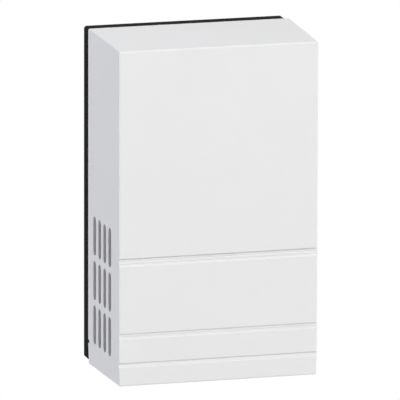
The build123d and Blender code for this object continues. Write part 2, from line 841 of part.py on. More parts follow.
def build_nodes():
    """Every piece of the chime by name."""
    nodes = {
        "back_base": make_back_base(),
        "cover": make_cover(),
        "high_tone_bar": make_tone_bar(-1, high_bar_length),
        "low_tone_bar": make_tone_bar(1, low_bar_length),
    }
    clips = []
    for bar, side, length in (("high", -1, high_bar_length), ("low", 1, low_bar_length)):
        for place, height in zip(("lower", "upper"), bar_hang_heights(length)):
            nodes[f"{bar}_bar_{place}_grommet"] = make_grommet(side, height)
            clips.append(make_bar_clip(side, height))
    nodes["bar_clips"] = clips
    for door, solenoid_z in (("front", front_solenoid_z), ("rear", rear_solenoid_z)):
        nodes[f"{door}_yoke"] = make_yoke(solenoid_z)
        nodes[f"{door}_bobbin"] = make_bobbin(solenoid_z)
        nodes[f"{door}_winding"] = make_winding(solenoid_z)
        nodes[f"{door}_plunger"] = make_plunger(solenoid_z, door == "front")
        nodes[f"{door}_return_spring"] = make_spring(solenoid_z)
        nodes[f"{door}_spring_clip"] = make_ring(solenoid_z)
    nodes["front_left_striker"] = make_striker(-1, front_solenoid_z)
    nodes["front_right_striker"] = make_striker(1, front_solenoid_z)
    nodes["rear_striker"] = make_striker(-1, rear_solenoid_z)
    nodes["rear_stop_pad"] = make_stop_pad()
    nodes["yoke_screws"] = make_yoke_screws()
    for name, x in zip(("front", "transformer", "rear"), terminal_places()):
        nodes[f"{name}_terminal"] = make_terminal(x)
    nodes["terminal_washers"] = make_terminal_washers()
    nodes["terminal_screws"] = make_terminal_screws()
    leads = {
        "front_coil_lead": front_coil_route(),
        "front_common_lead": front_common_route(),
        "rear_coil_lead": rear_coil_route(),
        "rear_common_lead": rear_common_route(),
    }
    for name, route in leads.items():
        nodes[name] = make_lead(name, route)
    return nodes


def main():
    """Writes one STEP file for each piece."""
    os.makedirs("parts", exist_ok=True)
    for name, shape in build_nodes().items():
        items = shape if isinstance(shape, list) else [shape]
        solids = [solid for item in items for solid in item.solids()]
        export_step(solids[0] if len(solids) == 1 else Compound(children=solids), f"parts/{name}.step")


main()
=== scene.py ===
"""Dresses the two-note door chime: its finishes, its wound and soft pieces, and the studio round it."""
import math
import random

import bmesh
import bpy
from mathutils import Matrix, Vector


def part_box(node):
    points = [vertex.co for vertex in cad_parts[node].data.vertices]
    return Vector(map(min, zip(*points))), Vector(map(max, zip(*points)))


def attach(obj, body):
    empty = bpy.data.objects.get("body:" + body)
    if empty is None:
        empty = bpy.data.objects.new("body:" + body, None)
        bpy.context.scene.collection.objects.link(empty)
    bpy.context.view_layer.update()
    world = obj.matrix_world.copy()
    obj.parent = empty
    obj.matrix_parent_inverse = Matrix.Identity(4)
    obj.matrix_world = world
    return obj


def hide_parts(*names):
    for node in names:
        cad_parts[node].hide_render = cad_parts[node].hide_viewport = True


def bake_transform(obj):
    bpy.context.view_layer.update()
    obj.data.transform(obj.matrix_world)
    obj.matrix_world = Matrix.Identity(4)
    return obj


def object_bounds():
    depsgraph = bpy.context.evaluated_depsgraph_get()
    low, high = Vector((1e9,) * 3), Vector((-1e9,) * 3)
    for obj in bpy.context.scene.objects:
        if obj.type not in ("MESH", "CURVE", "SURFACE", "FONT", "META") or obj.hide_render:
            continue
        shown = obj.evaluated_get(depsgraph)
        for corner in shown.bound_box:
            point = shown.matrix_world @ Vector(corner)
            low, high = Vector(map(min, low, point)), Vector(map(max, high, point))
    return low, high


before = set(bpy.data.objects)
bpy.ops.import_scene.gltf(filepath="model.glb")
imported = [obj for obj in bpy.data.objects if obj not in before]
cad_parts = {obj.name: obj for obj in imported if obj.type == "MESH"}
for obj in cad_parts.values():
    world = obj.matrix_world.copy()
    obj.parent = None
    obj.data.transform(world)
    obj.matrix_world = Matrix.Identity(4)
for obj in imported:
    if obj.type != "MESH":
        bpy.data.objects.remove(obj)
CAD_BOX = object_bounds()

bl_info = {
    "name": "Two-note Door Chime",
    "version": (1, 0, 0),
    "blender": (4, 5, 0),
    "location": "View3D > Sidebar > Chime",
    "description": "Dresses the packed door chime with its finishes, windings, springs, leads and studio",
    "category": "Object",
}

MM = 0.001
WHITE = (1.0, 1.0, 1.0, 1.0)

# Where most of a noise texture's values lie
NOISE_RANGE = (0.3, 0.7)

# Moulded plastic: the scale of its flow marks, and how far they and its grain shift the roughness
FLOW_SCALE = 28.0
FLOW_ROUGHNESS = (-0.04, 0.04)
GRAIN_ROUGHNESS = (-0.05, 0.05)

# Brushed metal: the scale of its stains, the noise values over which they set in, and how far its streaks
# change the shade and shift the roughness
STAIN_SCALE = 90.0
STAIN_RANGE = (0.35, 0.7)
STREAK_SHADE = (0.93, 1.05)
STREAK_ROUGHNESS = (-0.07, 0.09)

# Dust: its colour, how far up a face has to look for it, the scale of its patches, the noise values over
# which they thicken, and what lies between them
DUST = (0.42, 0.41, 0.39, 1.0)
DUST_FACING = (0.3, 0.95)
DUST_SCALE = 160.0
DUST_RANGE = (0.42, 0.68)
DUST_LEAST = 0.15

# Felt: the scale, roughness and depth of its tangled wool, and the scale, noise values and brightness of its
# lighter flecks
WOOL_SCALE = 1900.0
WOOL_ROUGHNESS = (0.86, 1.0)
WOOL_DEPTH = 0.12 * MM
FLECK_SCALE = 5200.0
FLECK_RANGE = (0.56, 0.66)
FLECK_GAIN = 2.1

# The leads' routes as in the part, each point across, out from the wall and up, in millimetres
LEAD_ROUTES = {
    "front_coil_lead": (
        "red",
        ((-7.84, 31, -25.25), (-7.84, 31, -35.75), (-22, 15.5, -53.75), (-22, 15.5, -60.25)),
    ),
    "front_common_lead": (
        "white",
        ((7.84, 31, -25.25), (7.84, 31, -35.75), (2, 15.5, -53.75), (2, 15.5, -60.25)),
    ),
    "rear_coil_lead": (
        "blue",
        (
            (7.84, 31, 18.75),
            (7.84, 31, 12.25),
            (22.5, 9, -1),
            (22.5, 9, -26.35),
            (22, 15.5, -53.75),
            (22, 15.5, -60.25),
        ),
    ),
    "rear_common_lead": (
        "white",
        (
            (-7.84, 31, 18.75),
            (-7.84, 31, 12.25),
            (-22.5, 9, -1),
            (-22.5, 9, -26.35),
            (-13, 13, -40.5),
            (-2, 15.5, -53.75),
            (-2, 15.5, -60.25),
        ),
    ),
}

# How finely round shapes are made: steps round a ring, points to a turn of wire, sides of a wire, and the
# leads' steps and smoothness
CORE_STEPS = 64
TAPE_STEPS = 96
TURN_STEPS = 40
COIL_WIRE_SIDES = 6
SPRING_WIRE_SIDES = 10
WIRE_BEVEL_STEPS = 5
WIRE_CURVE_STEPS = 24
WIRE_CURVE_ORDER = 3

# How far a tube's domed end reaches and how wide it is there, in its radii
DOME_REACH = 0.5
DOME_WIDTH = 0.7

# A winding: its core's bore, the room left over its outer wires, and how high those wires and the tape lie
# over the core in wire radii
COIL_BORE = 5.3 * MM
COIL_GAP = 0.15 * MM
WIRE_LIFT = 0.6
TAPE_LIFT = 1.2

# The tape: its half width as a share of the winding, how far it stays inside the winding's outside, and the
# width and drop of its pressed edges
TAPE_HALF_SHARE = 0.29
TAPE_GAP = 0.02 * MM
TAPE_EDGE_WIDTH = 0.1 * MM
TAPE_EDGE_DROP = 0.05 * MM

# A return spring: the closed turns at each end, the open turns between, the closed turns' pitch in wire radii,
# and the share of a turn over which the pitch changes
CLOSED_TURNS = 1.0
OPEN_TURNS = 7.0
CLOSED_PITCH = 2.15
PITCH_EASE = 0.5

# The felt pad: its rounded edges, how finely its faces are cut and how uneven they are in millimetres
FELT_EDGE = 0.5 * MM
FELT_EDGE_STEPS = 3
FELT_EDGE_PROFILE = 0.6
FELT_CUTS = 5
FELT_FUZZ = 0.04
FELT_SEED = 5

# A lead's end: how far the bare wire starts inside the sleeve, and the solder's random lean, the share of its
# width that is left at its middle and its height, as shares of its radius
CONDUCTOR_RUN_IN = 1.0 * MM
SOLDER_LEAN = (0.85, 1.15)
SOLDER_MIDDLE = 0.75
SOLDER_HEIGHT = 1.3
SOLDER_DETAIL = 3

# The studio's lights: place and width in metres, and tint
LIGHTS = {
    "key": ((0.25, -1.70, 1.35), 1.2, (1.0, 1.0, 1.0)),
    "fill": ((-1.30, 0.10, 0.45), 0.5, (0.93, 0.945, 1.0)),
}

# The studio's walls turn dim towards the left, from one sideways direction to another, and into the ceiling
# towards an upward direction, each as a share of a unit vector
DIM_SIDE = (0.16, 0.16, 0.18, 1.0)
DIM_STARTS = 0.10
DIM_FULL = -0.45
CEILING_FULL = 0.8

# The floor's half width in metres, and how uneven its tone is
FLOOR_HALF = 60.0
FLOOR_MOTTLE = 0.02

# The camera's film width in millimetres, and its near and far limits in metres
SENSOR_WIDTH = 36.0
NEAR_LIMIT = 0.1
FAR_LIMIT = 100.0


# Settings that a user would change

def colour(name, value, description):
    """A colour setting."""
    return bpy.props.FloatVectorProperty(
        name=name, description=description, default=value, size=3, min=0.0, max=1.0, subtype="COLOR"
    )


def length(name, value, description):
    """A length setting, given in millimetres and kept in metres."""
    return bpy.props.FloatProperty(
        name=name, description=description, default=value * MM, min=0.0, subtype="DISTANCE", unit="LENGTH"
    )


def offset(name, value, description):
    """A length setting that may be negative, given in millimetres and kept in metres."""
    return bpy.props.FloatProperty(
        name=name, description=description, default=value * MM, subtype="DISTANCE", unit="LENGTH"
    )


def angle(name, value, description):
    """An angle setting, given in degrees and kept in radians."""
    return bpy.props.FloatProperty(
        name=name, description=description, default=math.radians(value), subtype="ANGLE", unit="ROTATION"
    )


def number(name, value, description):
    """A plain number setting."""
    return bpy.props.FloatProperty(name=name, description=description, default=value, min=0.0)


class ChimeColours(bpy.types.PropertyGroup):
    """The finishes' colours."""

    cover_white: colour("Cover", (0.80, 0.80, 0.80), "Moulded cover")
    base_black: colour("Base", (0.022, 0.022, 0.024), "Moulded base")
    bar_steel: colour("Bars", (0.34, 0.34, 0.35), "Tone bars of oiled steel")
    plated_steel: colour("Yokes", (0.56, 0.56, 0.53), "Zinc plated yokes and screws")
    core_steel: colour("Cores", (0.46, 0.46, 0.47), "Turned plungers")
    spring_steel: colour("Springs", (0.42, 0.42, 0.44), "Spring wire and clips")
    brass: colour("Terminals", (0.70, 0.50, 0.20), "Terminal plates and screws")
    copper: colour("Copper", (0.58, 0.20, 0.07), "Enamelled wire")
    tape: colour("Tape", (0.72, 0.46, 0.06), "Tape round the windings")
    natural_nylon: colour("Nylon", (0.74, 0.71, 0.62), "Spools and strikers")
    rubber: colour("Rubber", (0.028, 0.028, 0.028), "Bar mounts")
    felt: colour("Felt", (0.23, 0.23, 0.22), "Stop pad")
    solder: colour("Solder", (0.62, 0.63, 0.65), "Solder at the tags")
    red: colour("Red lead", (0.48, 0.030, 0.022), "Front coil's insulation")
    blue: colour("Blue lead", (0.030, 0.09, 0.36), "Rear coil's insulation")
    white: colour("White lead", (0.68, 0.68, 0.65), "Common leads' insulation")


class ChimeSizes(bpy.types.PropertyGroup):
    """The sizes of the wound and soft pieces."""

    wire_radius: length("Spring wire", 0.3, "Radius of the springs' wire")
    coil_wire: length("Coil wire", 0.2, "Radius of the windings' wire")
    lead_radius: length("Lead", 0.65, "Radius of the insulated leads")
    conductor_radius: length("Conductor", 0.3, "Radius of the bare end of a lead")
    stripped: length("Stripped", 2.4, "How much of a lead's end is bare")
    solder_radius: length("Solder", 0.85, "Radius of a solder blob")


class ChimeStudio(bpy.types.PropertyGroup):
    """The camera and the light."""

    azimuth: angle("Azimuth", 15.62, "How far the camera stands to the left")
    elevation: angle("Elevation", 12.50, "How far the camera looks down")
    roll: angle("Roll", 0.16, "Turn of the picture")
    distance: length("Distance", 5215.0, "From the camera to the box")
    aim_right: offset("Aim across", -6.20, "The box's place in the picture, across")
    aim_up: offset("Aim up", 4.977, "The box's place in the picture, upwards")
    lens: number("Lens", 842.6, "Focal length in millimetres")
    wall_light: number("Walls", 1.12, "Strength of the light from the studio's pale walls")
    ceiling_light: number("Ceiling", 0.71, "Strength of the light from the studio's ceiling")
    key: number("Key", 24.2, "Power of the soft key light in watts")
    fill: number("Fill", 7.8, "Power of the small light on the left in watts")
    floor_drop: length("Floor", 300.0, "How far the floor lies under the box")
    floor_tone: number("Floor tone", 0.72, "How much light the floor throws back")


# Node helpers

def link(tree, source, target):
    """Joins an output to an input."""
    tree.links.new(source, target)


def new_group(name, inputs, outputs):
    """A shader node group with named sockets, and its input and output nodes."""
    group = bpy.data.node_groups.new(name, "ShaderNodeTree")
    for label, kind, default in inputs:
        socket = group.interface.new_socket(name=label, in_out="INPUT", socket_type=kind)
        socket.default_value = default
    for label, kind in outputs:
        group.interface.new_socket(name=label, in_out="OUTPUT", socket_type=kind)
    return group, group.nodes.new("NodeGroupInput"), group.nodes.new("NodeGroupOutput")


def place_coordinates(tree):
    """The piece's own coordinates, in metres."""
    return tree.nodes.new("ShaderNodeTexCoord").outputs["Object"]


def noise(tree, vector, scale, detail=2.0, roughness=0.5):
    """A noise texture's value, with its scale a number or another socket."""
    node = tree.nodes.new("ShaderNodeTexNoise")
    link(tree, vector, node.inputs["Vector"])
    node.inputs["Detail"].default_value = detail
    node.inputs["Roughness"].default_value = roughness
    if isinstance(scale, (int, float)):
        node.inputs["Scale"].default_value = scale
    else:
        link(tree, scale, node.inputs["Scale"])
    return node.outputs["Fac"]


def math_node(tree, operation, first, second):
    """A Math node of two values, each a number or a socket."""
    node = tree.nodes.new("ShaderNodeMath")
    node.operation = operation
    for socket, value in zip(node.inputs, (first, second)):
        if isinstance(value, (int, float)):
            socket.default_value = value
        else:
            link(tree, value, socket)
    return node.outputs[0]


def spread(tree, value, low, high, to_low, to_high):
    """Maps a value from one range to another, clamped."""
    node = tree.nodes.new("ShaderNodeMapRange")
    link(tree, value, node.inputs["Value"])
    for label, end in (("From Min", low), ("From Max", high), ("To Min", to_low), ("To Max", to_high)):
        if isinstance(end, (int, float)):
            node.inputs[label].default_value = end
        else:
            link(tree, end, node.inputs[label])
    return node.outputs["Result"]


def mix_colour(tree, share, first, second):
    """Mixes two colours, each a tuple or a socket."""
    node = tree.nodes.new("ShaderNodeMix")
    node.data_type = "RGBA"
    link(tree, share, node.inputs["Factor"])
    for socket, value in zip([s for s in node.inputs if s.type == "RGBA"], (first, second)):
        if isinstance(value, bpy.types.NodeSocket):
            link(tree, value, socket)
        else:
            socket.default_value = value
    return next(s for s in node.outputs if s.type == "RGBA")


def scaled(tree, vector, amount):
    """A vector or colour times a value."""
    node = tree.nodes.new("ShaderNodeVectorMath")
    node.operation = "SCALE"
    link(tree, vector, node.inputs[0])
    link(tree, amount, node.inputs["Scale"])
    return node.outputs[0]


# Effects that several finishes share

def mould_group():
    """Moulded plastic: a fine spark-eroded grain, faint flow mottling and a roughness that follows them."""
    group, given, out = new_group(
        "Moulded surface",
        [
            ("Colour", "NodeSocketColor", WHITE),
            ("Grain size", "NodeSocketFloat", 2600.0),
            ("Mottle", "NodeSocketFloat", 0.03),
            ("Roughness", "NodeSocketFloat", 0.5),
        ],
        [("Colour", "NodeSocketColor"), ("Roughness", "NodeSocketFloat"), ("Height", "NodeSocketFloat")],
    )
    where = place_coordinates(group)
    grain = noise(group, where, given.outputs["Grain size"], detail=3.0, roughness=0.6)
    flow = noise(group, where, FLOW_SCALE, detail=3.0, roughness=0.55)
    dull = math_node(group, "SUBTRACT", 1.0, given.outputs["Mottle"])
    shade = spread(group, flow, *NOISE_RANGE, dull, 1.0)
    link(group, scaled(group, given.outputs["Colour"], shade), out.inputs["Colour"])
    wide = spread(group, flow, *NOISE_RANGE, *FLOW_ROUGHNESS)
    fine = spread(group, grain, *NOISE_RANGE, *GRAIN_ROUGHNESS)
    rough = math_node(group, "ADD", given.outputs["Roughness"], math_node(group, "ADD", wide, fine))
    link(group, rough, out.inputs["Roughness"])
    link(group, grain, out.inputs["Height"])
    return group


def brushed_group():
    """Brushed or drawn metal: fine streaks along one direction, set by a stretch of the coordinates."""
    group, given, out = new_group(
        "Brushed metal",
        [
            ("Colour", "NodeSocketColor", WHITE),
            ("Stretch", "NodeSocketVector", (1.0, 1.0, 1.0)),
            ("Scale", "NodeSocketFloat", 900.0),
            ("Roughness", "NodeSocketFloat", 0.3),
            ("Stain", "NodeSocketFloat", 0.12),
        ],
        [("Colour", "NodeSocketColor"), ("Roughness", "NodeSocketFloat"), ("Height", "NodeSocketFloat")],
    )
    where = place_coordinates(group)
    stretched = group.nodes.new("ShaderNodeVectorMath")
    stretched.operation = "MULTIPLY"
    link(group, where, stretched.inputs[0])
    link(group, given.outputs["Stretch"], stretched.inputs[1])
    streak = noise(group, stretched.outputs[0], given.outputs["Scale"], detail=4.0, roughness=0.65)
    cloud = noise(group, where, STAIN_SCALE, detail=4.0, roughness=0.6)
    dull = math_node(group, "SUBTRACT", 1.0, given.outputs["Stain"])
    stained = spread(group, cloud, *STAIN_RANGE, 1.0, dull)
    streaked = spread(group, streak, *NOISE_RANGE, *STREAK_SHADE)
    shade = math_node(group, "MULTIPLY", stained, streaked)
    link(group, scaled(group, given.outputs["Colour"], shade), out.inputs["Colour"])
    uneven = spread(group, streak, *NOISE_RANGE, *STREAK_ROUGHNESS)
    link(group, math_node(group, "ADD", given.outputs["Roughness"], uneven), out.inputs["Roughness"])
    link(group, streak, out.inputs["Height"])
    return group


def dust_group():
    """A little dust that settles on surfaces facing up and in uneven drifts."""
    group, given, out = new_group(
        "Settled dust",
        [("Colour", "NodeSocketColor", WHITE), ("Amount", "NodeSocketFloat", 0.1)],
        [("Colour", "NodeSocketColor"), ("Mask", "NodeSocketFloat")],
    )
    where = place_coordinates(group)
    facing = group.nodes.new("ShaderNodeSeparateXYZ")
    link(group, group.nodes.new("ShaderNodeNewGeometry").outputs["Normal"], facing.inputs[0])
    upward = spread(group, facing.outputs["Z"], *DUST_FACING, 0.0, 1.0)
    patches = noise(group, where, DUST_SCALE, detail=5.0, roughness=0.7)
    drift = spread(group, patches, *DUST_RANGE, DUST_LEAST, 1.0)
    lying = math_node(group, "MULTIPLY", upward, drift)
    mask = math_node(group, "MULTIPLY", lying, given.outputs["Amount"])
    link(group, mix_colour(group, mask, given.outputs["Colour"], DUST), out.inputs["Colour"])
    link(group, mask, out.inputs["Mask"])
    return group


GROUP_MAKERS = {"Moulded surface": mould_group, "Brushed metal": brushed_group, "Settled dust": dust_group}


def shared(tree, name, **values):
    """Places a shared effect in a material, with its own values."""
    node = tree.nodes.new("ShaderNodeGroup")
    node.node_tree = bpy.data.node_groups.get(name) or GROUP_MAKERS[name]()
    for label, value in values.items():
        node.inputs[label.replace("_", " ")].default_value = value
    return node


# Materials

def new_material(name, metallic=0.0):
    """An empty material with its main shader."""
    material = bpy.data.materials.new(name)
    material.use_nodes = True
    shader = next(n for n in material.node_tree.nodes if n.type == "BSDF_PRINCIPLED")
    shader.inputs["Metallic"].default_value = metallic
    return material, material.node_tree, shader


def bump(tree, shader, height, strength, distance):
    """Feeds a height into the shader's normal."""
    node = tree.nodes.new("ShaderNodeBump")
    node.inputs["Strength"].default_value = strength
    node.inputs["Distance"].default_value = distance
    link(tree, height, node.inputs["Height"])
    link(tree, node.outputs["Normal"], shader.inputs["Normal"])


def full(rgb):
    """A colour with its alpha."""
    return (*rgb, 1.0)


def plastic(name, rgb, roughness, grain_size, mottle, grain_depth=0.02 * MM, dust=0.0, gloss=0.5):
    """Moulded plastic of one colour."""
    material, tree, shader = new_material(name)
    shader.inputs["Specular IOR Level"].default_value = gloss
    surface = shared(
        tree, "Moulded surface", Colour=full(rgb), Grain_size=grain_size, Mottle=mottle, Roughness=roughness
    )
    settled = shared(tree, "Settled dust", Amount=dust)
    link(tree, surface.outputs["Colour"], settled.inputs["Colour"])
    link(tree, settled.outputs["Colour"], shader.inputs["Base Color"])
    link(tree, surface.outputs["Roughness"], shader.inputs["Roughness"])
    bump(tree, shader, surface.outputs["Height"], strength=0.5, distance=grain_depth)
    return material


def metal(name, rgb, roughness, stretch, scale, stain, streak_depth=0.006 * MM):
    """Metal with streaks along one direction."""
    material, tree, shader = new_material(name, metallic=1.0)
    surface = shared(
        tree,
        "Brushed metal",
        Colour=full(rgb),
        Stretch=stretch,
        Scale=scale,
        Roughness=roughness,
        Stain=stain,
    )
    link(tree, surface.outputs["Colour"], shader.inputs["Base Color"])
    link(tree, surface.outputs["Roughness"], shader.inputs["Roughness"])
    bump(tree, shader, surface.outputs["Height"], strength=0.35, distance=streak_depth)
    return material


def felt_material(rgb):
    """Pressed wool with flecks of lighter fibre."""
    material, tree, shader = new_material("felt")
    where = place_coordinates(tree)
    tangle = noise(tree, where, WOOL_SCALE, detail=6.0, roughness=0.75)
    fleck = spread(tree, noise(tree, where, FLECK_SCALE), *FLECK_RANGE, 0.0, 1.0)
    fibre = full([min(1.0, tone * FLECK_GAIN) for tone in rgb])
    link(tree, mix_colour(tree, fleck, full(rgb), fibre), shader.inputs["Base Color"])
    link(tree, spread(tree, tangle, *NOISE_RANGE, *WOOL_ROUGHNESS), shader.inputs["Roughness"])
    bump(tree, shader, tangle, strength=0.8, distance=WOOL_DEPTH)
    shader.inputs["Sheen Weight"].default_value = 0.4
    shader.inputs["Sheen Roughness"].default_value = 0.6
    return material


def dress(node, material):
    """Gives a CAD piece its finish."""
    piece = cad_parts[node]
    piece.data.materials.clear()
    piece.data.materials.append(material)


# Mesh helpers

def smooth_piece(name, mesh, material):
    """A piece of a mesh, smooth-shaded and with its finish."""
    for face in mesh.polygons:
        face.use_smooth = True
    mesh.materials.append(material)
    piece = bpy.data.objects.new(name, mesh)
    bpy.context.scene.collection.objects.link(piece)
    return piece


def mesh_piece(name, points, faces, material):
    """A piece made from points and faces."""
    mesh = bpy.data.meshes.new(name)
    mesh.from_pydata([tuple(p) for p in points], [], faces)
    mesh.validate()
    return smooth_piece(name, mesh, material)


def finished_mesh(name, shape, material):
    """A piece made from a bmesh, which it frees."""
    mesh = bpy.data.meshes.new(name)
    shape.to_mesh(mesh)
    shape.free()
    return smooth_piece(name, mesh, material)


def tube(points, radius, sides):
    """Points and faces of a round tube along a line, with domed ends."""
    points = [Vector(p) for p in points]
    last = len(points) - 1
    ways = [(points[min(i + 1, last)] - points[max(i - 1, 0)]).normalized() for i in range(last + 1)]
    normal = ways[0].orthogonal().normalized()
    rings = []
    for point, way in zip(points, ways):
        normal = (normal - way * normal.dot(way)).normalized()
        across = way.cross(normal)
        rings.append((point, way, normal, across, 1.0))
    point, way, normal, across, _ = rings[0]
    rings.insert(0, (point - way * radius * DOME_REACH, way, normal, across, DOME_WIDTH))
    point, way, normal, across, _ = rings[-1]
    rings.append((point + way * radius * DOME_REACH, way, normal, across, DOME_WIDTH))
    verts = []
    for point, _, normal, across, share in rings:
        for k in range(sides):
            turn = 2 * math.pi * k / sides
            verts.append(point + (normal * math.cos(turn) + across * math.sin(turn)) * radius * share)
    faces = []
    for i in range(len(rings) - 1):
        for k in range(sides):
            a, b = i * sides + k, i * sides + (k + 1) % sides
            faces.append((a, b, b + sides, a + sides))
    faces.append(tuple(reversed(range(sides))))
    faces.append(tuple(range(len(verts) - sides, len(verts))))
    return verts, faces


def round_x(x, centre, radius, turn):
    """A point at a distance and an angle round a line along X."""
    return (x, centre.y + radius * math.cos(turn), centre.z + radius * math.sin(turn))


def lathe_x(profile, centre, steps):
    """Points and faces of a closed ring turned round a line along X, from (x, radius) pairs."""
    verts = []
    for k in range(steps):
        turn = 2 * math.pi * k / steps
        verts += [round_x(x, centre, radius, turn) for x, radius in profile]
    count = len(profile)
    faces = []
    for k in range(steps):
        here, ahead = k * count, (k + 1) % steps * count
        for i in range(count):
            j = (i + 1) % count
            faces.append((here + i, here + j, ahead + j, ahead + i))
    return verts, faces


def centre_of(node):
    """The middle of a CAD piece's box."""
    low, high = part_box(node)
    return (low + high) / 2


def coil_line(low, high, centre, radius, wire):
    """The line of a winding's outer turns, side by side from end to end."""
    span = high.x - low.x - 2 * wire
    steps = int(span / (2 * wire)) * TURN_STEPS
    return [
        round_x(low.x + wire + span * i / steps, centre, radius, 2 * math.pi * i / TURN_STEPS)
        for i in range(steps + 1)
    ]


def tape_ring(low, high, centre, under, skin):
    """Points and faces of the tape round a winding, with its edges pressed down."""
    half = (high.x - low.x) * TAPE_HALF_SHARE
    left, right = centre.x - half, centre.x + half
    edge = skin - TAPE_EDGE_DROP
    profile = [
        (left, under),
        (left, edge),
        (left + TAPE_EDGE_WIDTH, skin),
        (right - TAPE_EDGE_WIDTH, skin),
        (right, edge),
        (right, under),
    ]
    return lathe_x(profile, centre, TAPE_STEPS)


def spring_line(start, end, centre, radius, wire):
    """The line of a spring along X, with closed turns at both ends."""
    turns = 2 * CLOSED_TURNS + OPEN_TURNS
    closed_pitch = CLOSED_PITCH * wire
    open_pitch = (end - start - 2 * CLOSED_TURNS * closed_pitch) / OPEN_TURNS
    points = []
    x = start
    for i in range(int(turns * TURN_STEPS) + 1):
        turn = i / TURN_STEPS
        points.append(round_x(x, centre, radius, 2 * math.pi * turn))
        near_end = min(turn, turns - turn)
        share = min(1.0, max(0.0, (near_end - CLOSED_TURNS + PITCH_EASE / 2) / PITCH_EASE))
        x += (closed_pitch + (open_pitch - closed_pitch) * share) / TURN_STEPS
    spare = (end - points[-1][0]) / len(points)
    return [(x + spare * i, y, z) for i, (x, y, z) in enumerate(points)]


def smooth_wire(name, points, radius, material):
    """A round wire along a smooth line that its points steer."""
    curve = bpy.data.curves.new(name, "CURVE")
    curve.dimensions = "3D"
    curve.bevel_depth = radius
    curve.bevel_resolution = WIRE_BEVEL_STEPS
    curve.resolution_u = WIRE_CURVE_STEPS
    curve.use_fill_caps = True
    spline = curve.splines.new("NURBS")
    spline.points.add(len(points) - 1)
    for place, point in zip(spline.points, points):
        place.co = (*point, 1.0)
    spline.order_u = min(WIRE_CURVE_ORDER, len(points))
    spline.use_endpoint_u = True
    curve.materials.append(material)
    wire = bpy.data.objects.new(name, curve)
    bpy.context.scene.collection.objects.link(wire)
    return wire


def solder_blob(name, place, radius, material):
    """A small rounded fillet of solder over a wire's end."""
    shape = bmesh.new()
    bmesh.ops.create_icosphere(shape, subdivisions=SOLDER_DETAIL, radius=radius)
    chance = random.Random(name)
    lean = [chance.uniform(*SOLDER_LEAN) for _ in range(3)]
    for vertex in shape.verts:
        spot = vertex.co
        flat = SOLDER_MIDDLE + (1 - SOLDER_MIDDLE) * abs(spot.z) / radius
        leant = Vector((spot.x * lean[0], spot.y * flat * lean[1], spot.z * SOLDER_HEIGHT * lean[2]))
        vertex.co = leant + place
    return finished_mesh(name, shape, material)


# Operators, one for each piece or group of like pieces

class CHIME_OT_cover(bpy.types.Operator):
    """Finish the moulded cover"""

    bl_idname = "chime.cover"
    bl_label = "Cover"

    def execute(self, context):
        colours = context.scene.chime_colours
        white = plastic(
            "white_plastic", colours.cover_white, roughness=0.50, grain_size=2400.0, mottle=0.012, gloss=0.35
        )
        dress("cover", white)
        return {"FINISHED"}


class CHIME_OT_base(bpy.types.Operator):
    """Finish the moulded base"""

    bl_idname = "chime.base"
    bl_label = "Base"

    def execute(self, context):
        colours = context.scene.chime_colours
        black = plastic(
            "black_plastic",
            colours.base_black,
            roughness=0.62,
            grain_size=2100.0,
            mottle=0.10,
            grain_depth=0.03 * MM,
            gloss=0.003,
        )
        dress("back_base", black)
        return {"FINISHED"}


class CHIME_OT_bars(bpy.types.Operator):
    """Finish the tone bars and their mounts"""

    bl_idname = "chime.bars"
    bl_label = "Tone bars"

    def execute(self, context):
        colours = context.scene.chime_colours
        bar = metal(
            "bar_steel", colours.bar_steel, roughness=0.40, stretch=(1.0, 1.0, 0.03), scale=1500.0, stain=0.08
        )
        for node in ("high_tone_bar", "low_tone_bar"):
            dress(node, bar)
        rubber = plastic("rubber", colours.rubber, roughness=0.72, grain_size=3000.0, mottle=0.15, dust=0.08)
        for note in ("high", "low"):
            for place in ("upper", "lower"):
                dress(f"{note}_bar_{place}_grommet", rubber)
        clip = metal(
            "clip_steel",
            colours.spring_steel,
            roughness=0.28,
            stretch=(0.1, 1.0, 1.0),
            scale=1600.0,
            stain=0.15,
        )
        dress("bar_clips", clip)
        return {"FINISHED"}


class CHIME_OT_solenoids(bpy.types.Operator):
    """Finish the yokes, spools, cores and clips"""

    bl_idname = "chime.solenoids"
    bl_label = "Solenoids"

    def execute(self, context):
        colours = context.scene.chime_colours
        plated = metal(
            "plated_steel",
            colours.plated_steel,
            roughness=0.34,
            stretch=(1.0, 1.0, 0.12),
            scale=1100.0,
            stain=0.20,
        )
        nylon = plastic(
            "bobbin_nylon",
            colours.natural_nylon,
            roughness=0.40,
            grain_size=1800.0,
            mottle=0.06,
            grain_depth=0.01 * MM,
        )
        core = metal(
            "core_steel",
            colours.core_steel,
            roughness=0.26,
            stretch=(1.0, 0.06, 0.06),
            scale=2200.0,
            stain=0.10,
        )
        clip = metal(
            "ring_steel",
            colours.spring_steel,
            roughness=0.30,
            stretch=(1.0, 1.0, 0.2),
            scale=1500.0,
            stain=0.15,
        )
        for door in ("front", "rear"):
            dress(f"{door}_yoke", plated)
            dress(f"{door}_bobbin", nylon)
            dress(f"{door}_plunger", core)
            dress(f"{door}_spring_clip", clip)
        dress("yoke_screws", plated)
        return {"FINISHED"}


class CHIME_OT_strikers(bpy.types.Operator):
    """Finish the nylon tips"""

    bl_idname = "chime.strikers"
    bl_label = "Strikers"

    def execute(self, context):
        colours = context.scene.chime_colours
        tip = plastic(
            "striker_nylon",
            colours.natural_nylon,
            roughness=0.34,
            grain_size=1600.0,
            mottle=0.05,
            grain_depth=0.008 * MM,
        )
        for node in ("front_left_striker", "front_right_striker", "rear_striker"):
            dress(node, tip)
        return {"FINISHED"}


